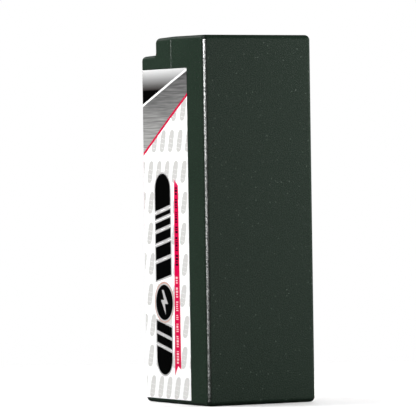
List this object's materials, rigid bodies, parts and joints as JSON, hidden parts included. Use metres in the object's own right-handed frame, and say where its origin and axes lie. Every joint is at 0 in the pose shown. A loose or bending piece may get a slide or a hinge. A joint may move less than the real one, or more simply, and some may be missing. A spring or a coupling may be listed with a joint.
{
  "type": "hard-case lithium polymer battery pack",
  "caption": "Boxy hard-case model battery pack on its end, with power sockets and a balance header in a stepped end and a printed wrap label.",
  "frame": {"origin": "centre of the plain lower end face, which the pack stands on", "axes": "+Z along the pack's length to the stepped connector end, -Y out of the plain belly, +Y out of the labelled top"},
  "size_m": [0.047, 0.049, 0.138],
  "materials": {
    "case": "fine moulded grain, dark green-grey",
    "label": "printed film, satin laminate",
    "pouch": "laminated foil, satin",
    "adhesive": "double-sided tape, matt",
    "tab_aluminium": "rolled, satin",
    "tab_nickel": "nickel-plated copper, satin",
    "board": "glass-fibre laminate with solder mask",
    "copper": "bare copper, satin",
    "gold": "gold plate, bright",
    "collar_red": "satin",
    "collar_black": "satin",
    "nylon": "natural nylon, satin",
    "tin": "tin plate, bright",
    "foam": "closed-cell foam, matt",
    "fish_paper": "insulating paper, matt",
    "polyimide": "amber film, glossy"
  },
  "bodies": {
    "pack": {"top_shell": "case", "label_wrap": "label", "adhesive_sheet_1": "adhesive", "adhesive_sheet_2": "adhesive", "adhesive_sheet_3": "adhesive", "tab_board": "board", "series_link_1": "copper", "series_link_2": "copper", "series_link_3": "copper", "positive_bus_bar": "copper", "negative_bus_bar": "copper", "positive_socket": "gold", "negative_socket": "gold", "positive_collar": "collar_red", "negative_collar": "collar_black", "balance_header": "nylon", "belly_foam_pad": "foam", "top_foam_pad": "foam", "end_foam_pad": "foam", "end_insulator": "fish_paper", "stack_strap_1": "polyimide", "stack_strap_2": "polyimide", "cell_1": "pouch", "positive_tab_1": "tab_aluminium", "negative_tab_1": "tab_nickel", "cell_2": "pouch", "positive_tab_2": "tab_aluminium", "negative_tab_2": "tab_nickel", "cell_3": "pouch", "positive_tab_3": "tab_aluminium", "negative_tab_3": "tab_nickel", "cell_4": "pouch", "positive_tab_4": "tab_aluminium", "negative_tab_4": "tab_nickel", "balance_pin_1": "tin", "balance_pin_2": "tin", "balance_pin_3": "tin", "balance_pin_4": "tin", "balance_pin_5": "tin"},
    "belly": {"belly_shell": "case", "label_strip_left": "label", "label_strip_right": "label"}
  },
  "joints": [
    {"name": "belly_slide", "type": "slide", "parent": "pack", "child": "belly", "axis": [0, -1, 0], "range_m": [0, 0.06]}
  ]
}
